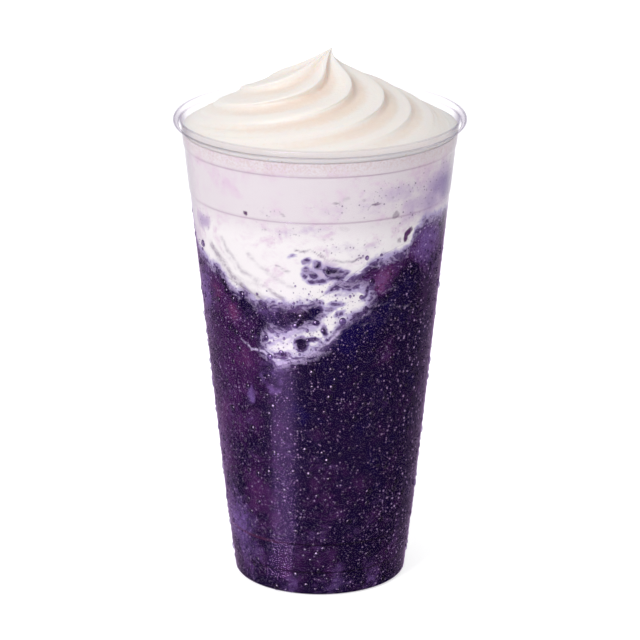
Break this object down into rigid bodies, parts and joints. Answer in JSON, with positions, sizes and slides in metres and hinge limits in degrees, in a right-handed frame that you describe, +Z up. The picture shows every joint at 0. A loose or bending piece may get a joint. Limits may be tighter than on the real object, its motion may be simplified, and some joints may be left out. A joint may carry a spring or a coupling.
{
  "type": "dirty soda in a clear cup",
  "caption": "Tall clear plastic cup of dark purple soda under pale milk foam, topped with a piped whipped cream swirl.",
  "frame": {"origin": "middle of the cup's base, on the surface that it stands on", "axes": "+Z up along the cup's axis, +X to the right and -Y to the front, where the foam's plume shows"},
  "size_m": [0.098, 0.098, 0.1836],
  "materials": {
    "clear_plastic": "clear, thin and glossy, with fine droplets on the outside",
    "purple_soda": "dark liquid seen through the cup",
    "milk_foam": "pale lavender foam marbled with purple",
    "whipped_cream": "soft satin white with warm folds"
  },
  "bodies": {
    "root": {"cup": "clear_plastic", "drink": "purple_soda", "cream_layer": "milk_foam", "whipped_cream": "whipped_cream"}
  },
  "joints": []
}
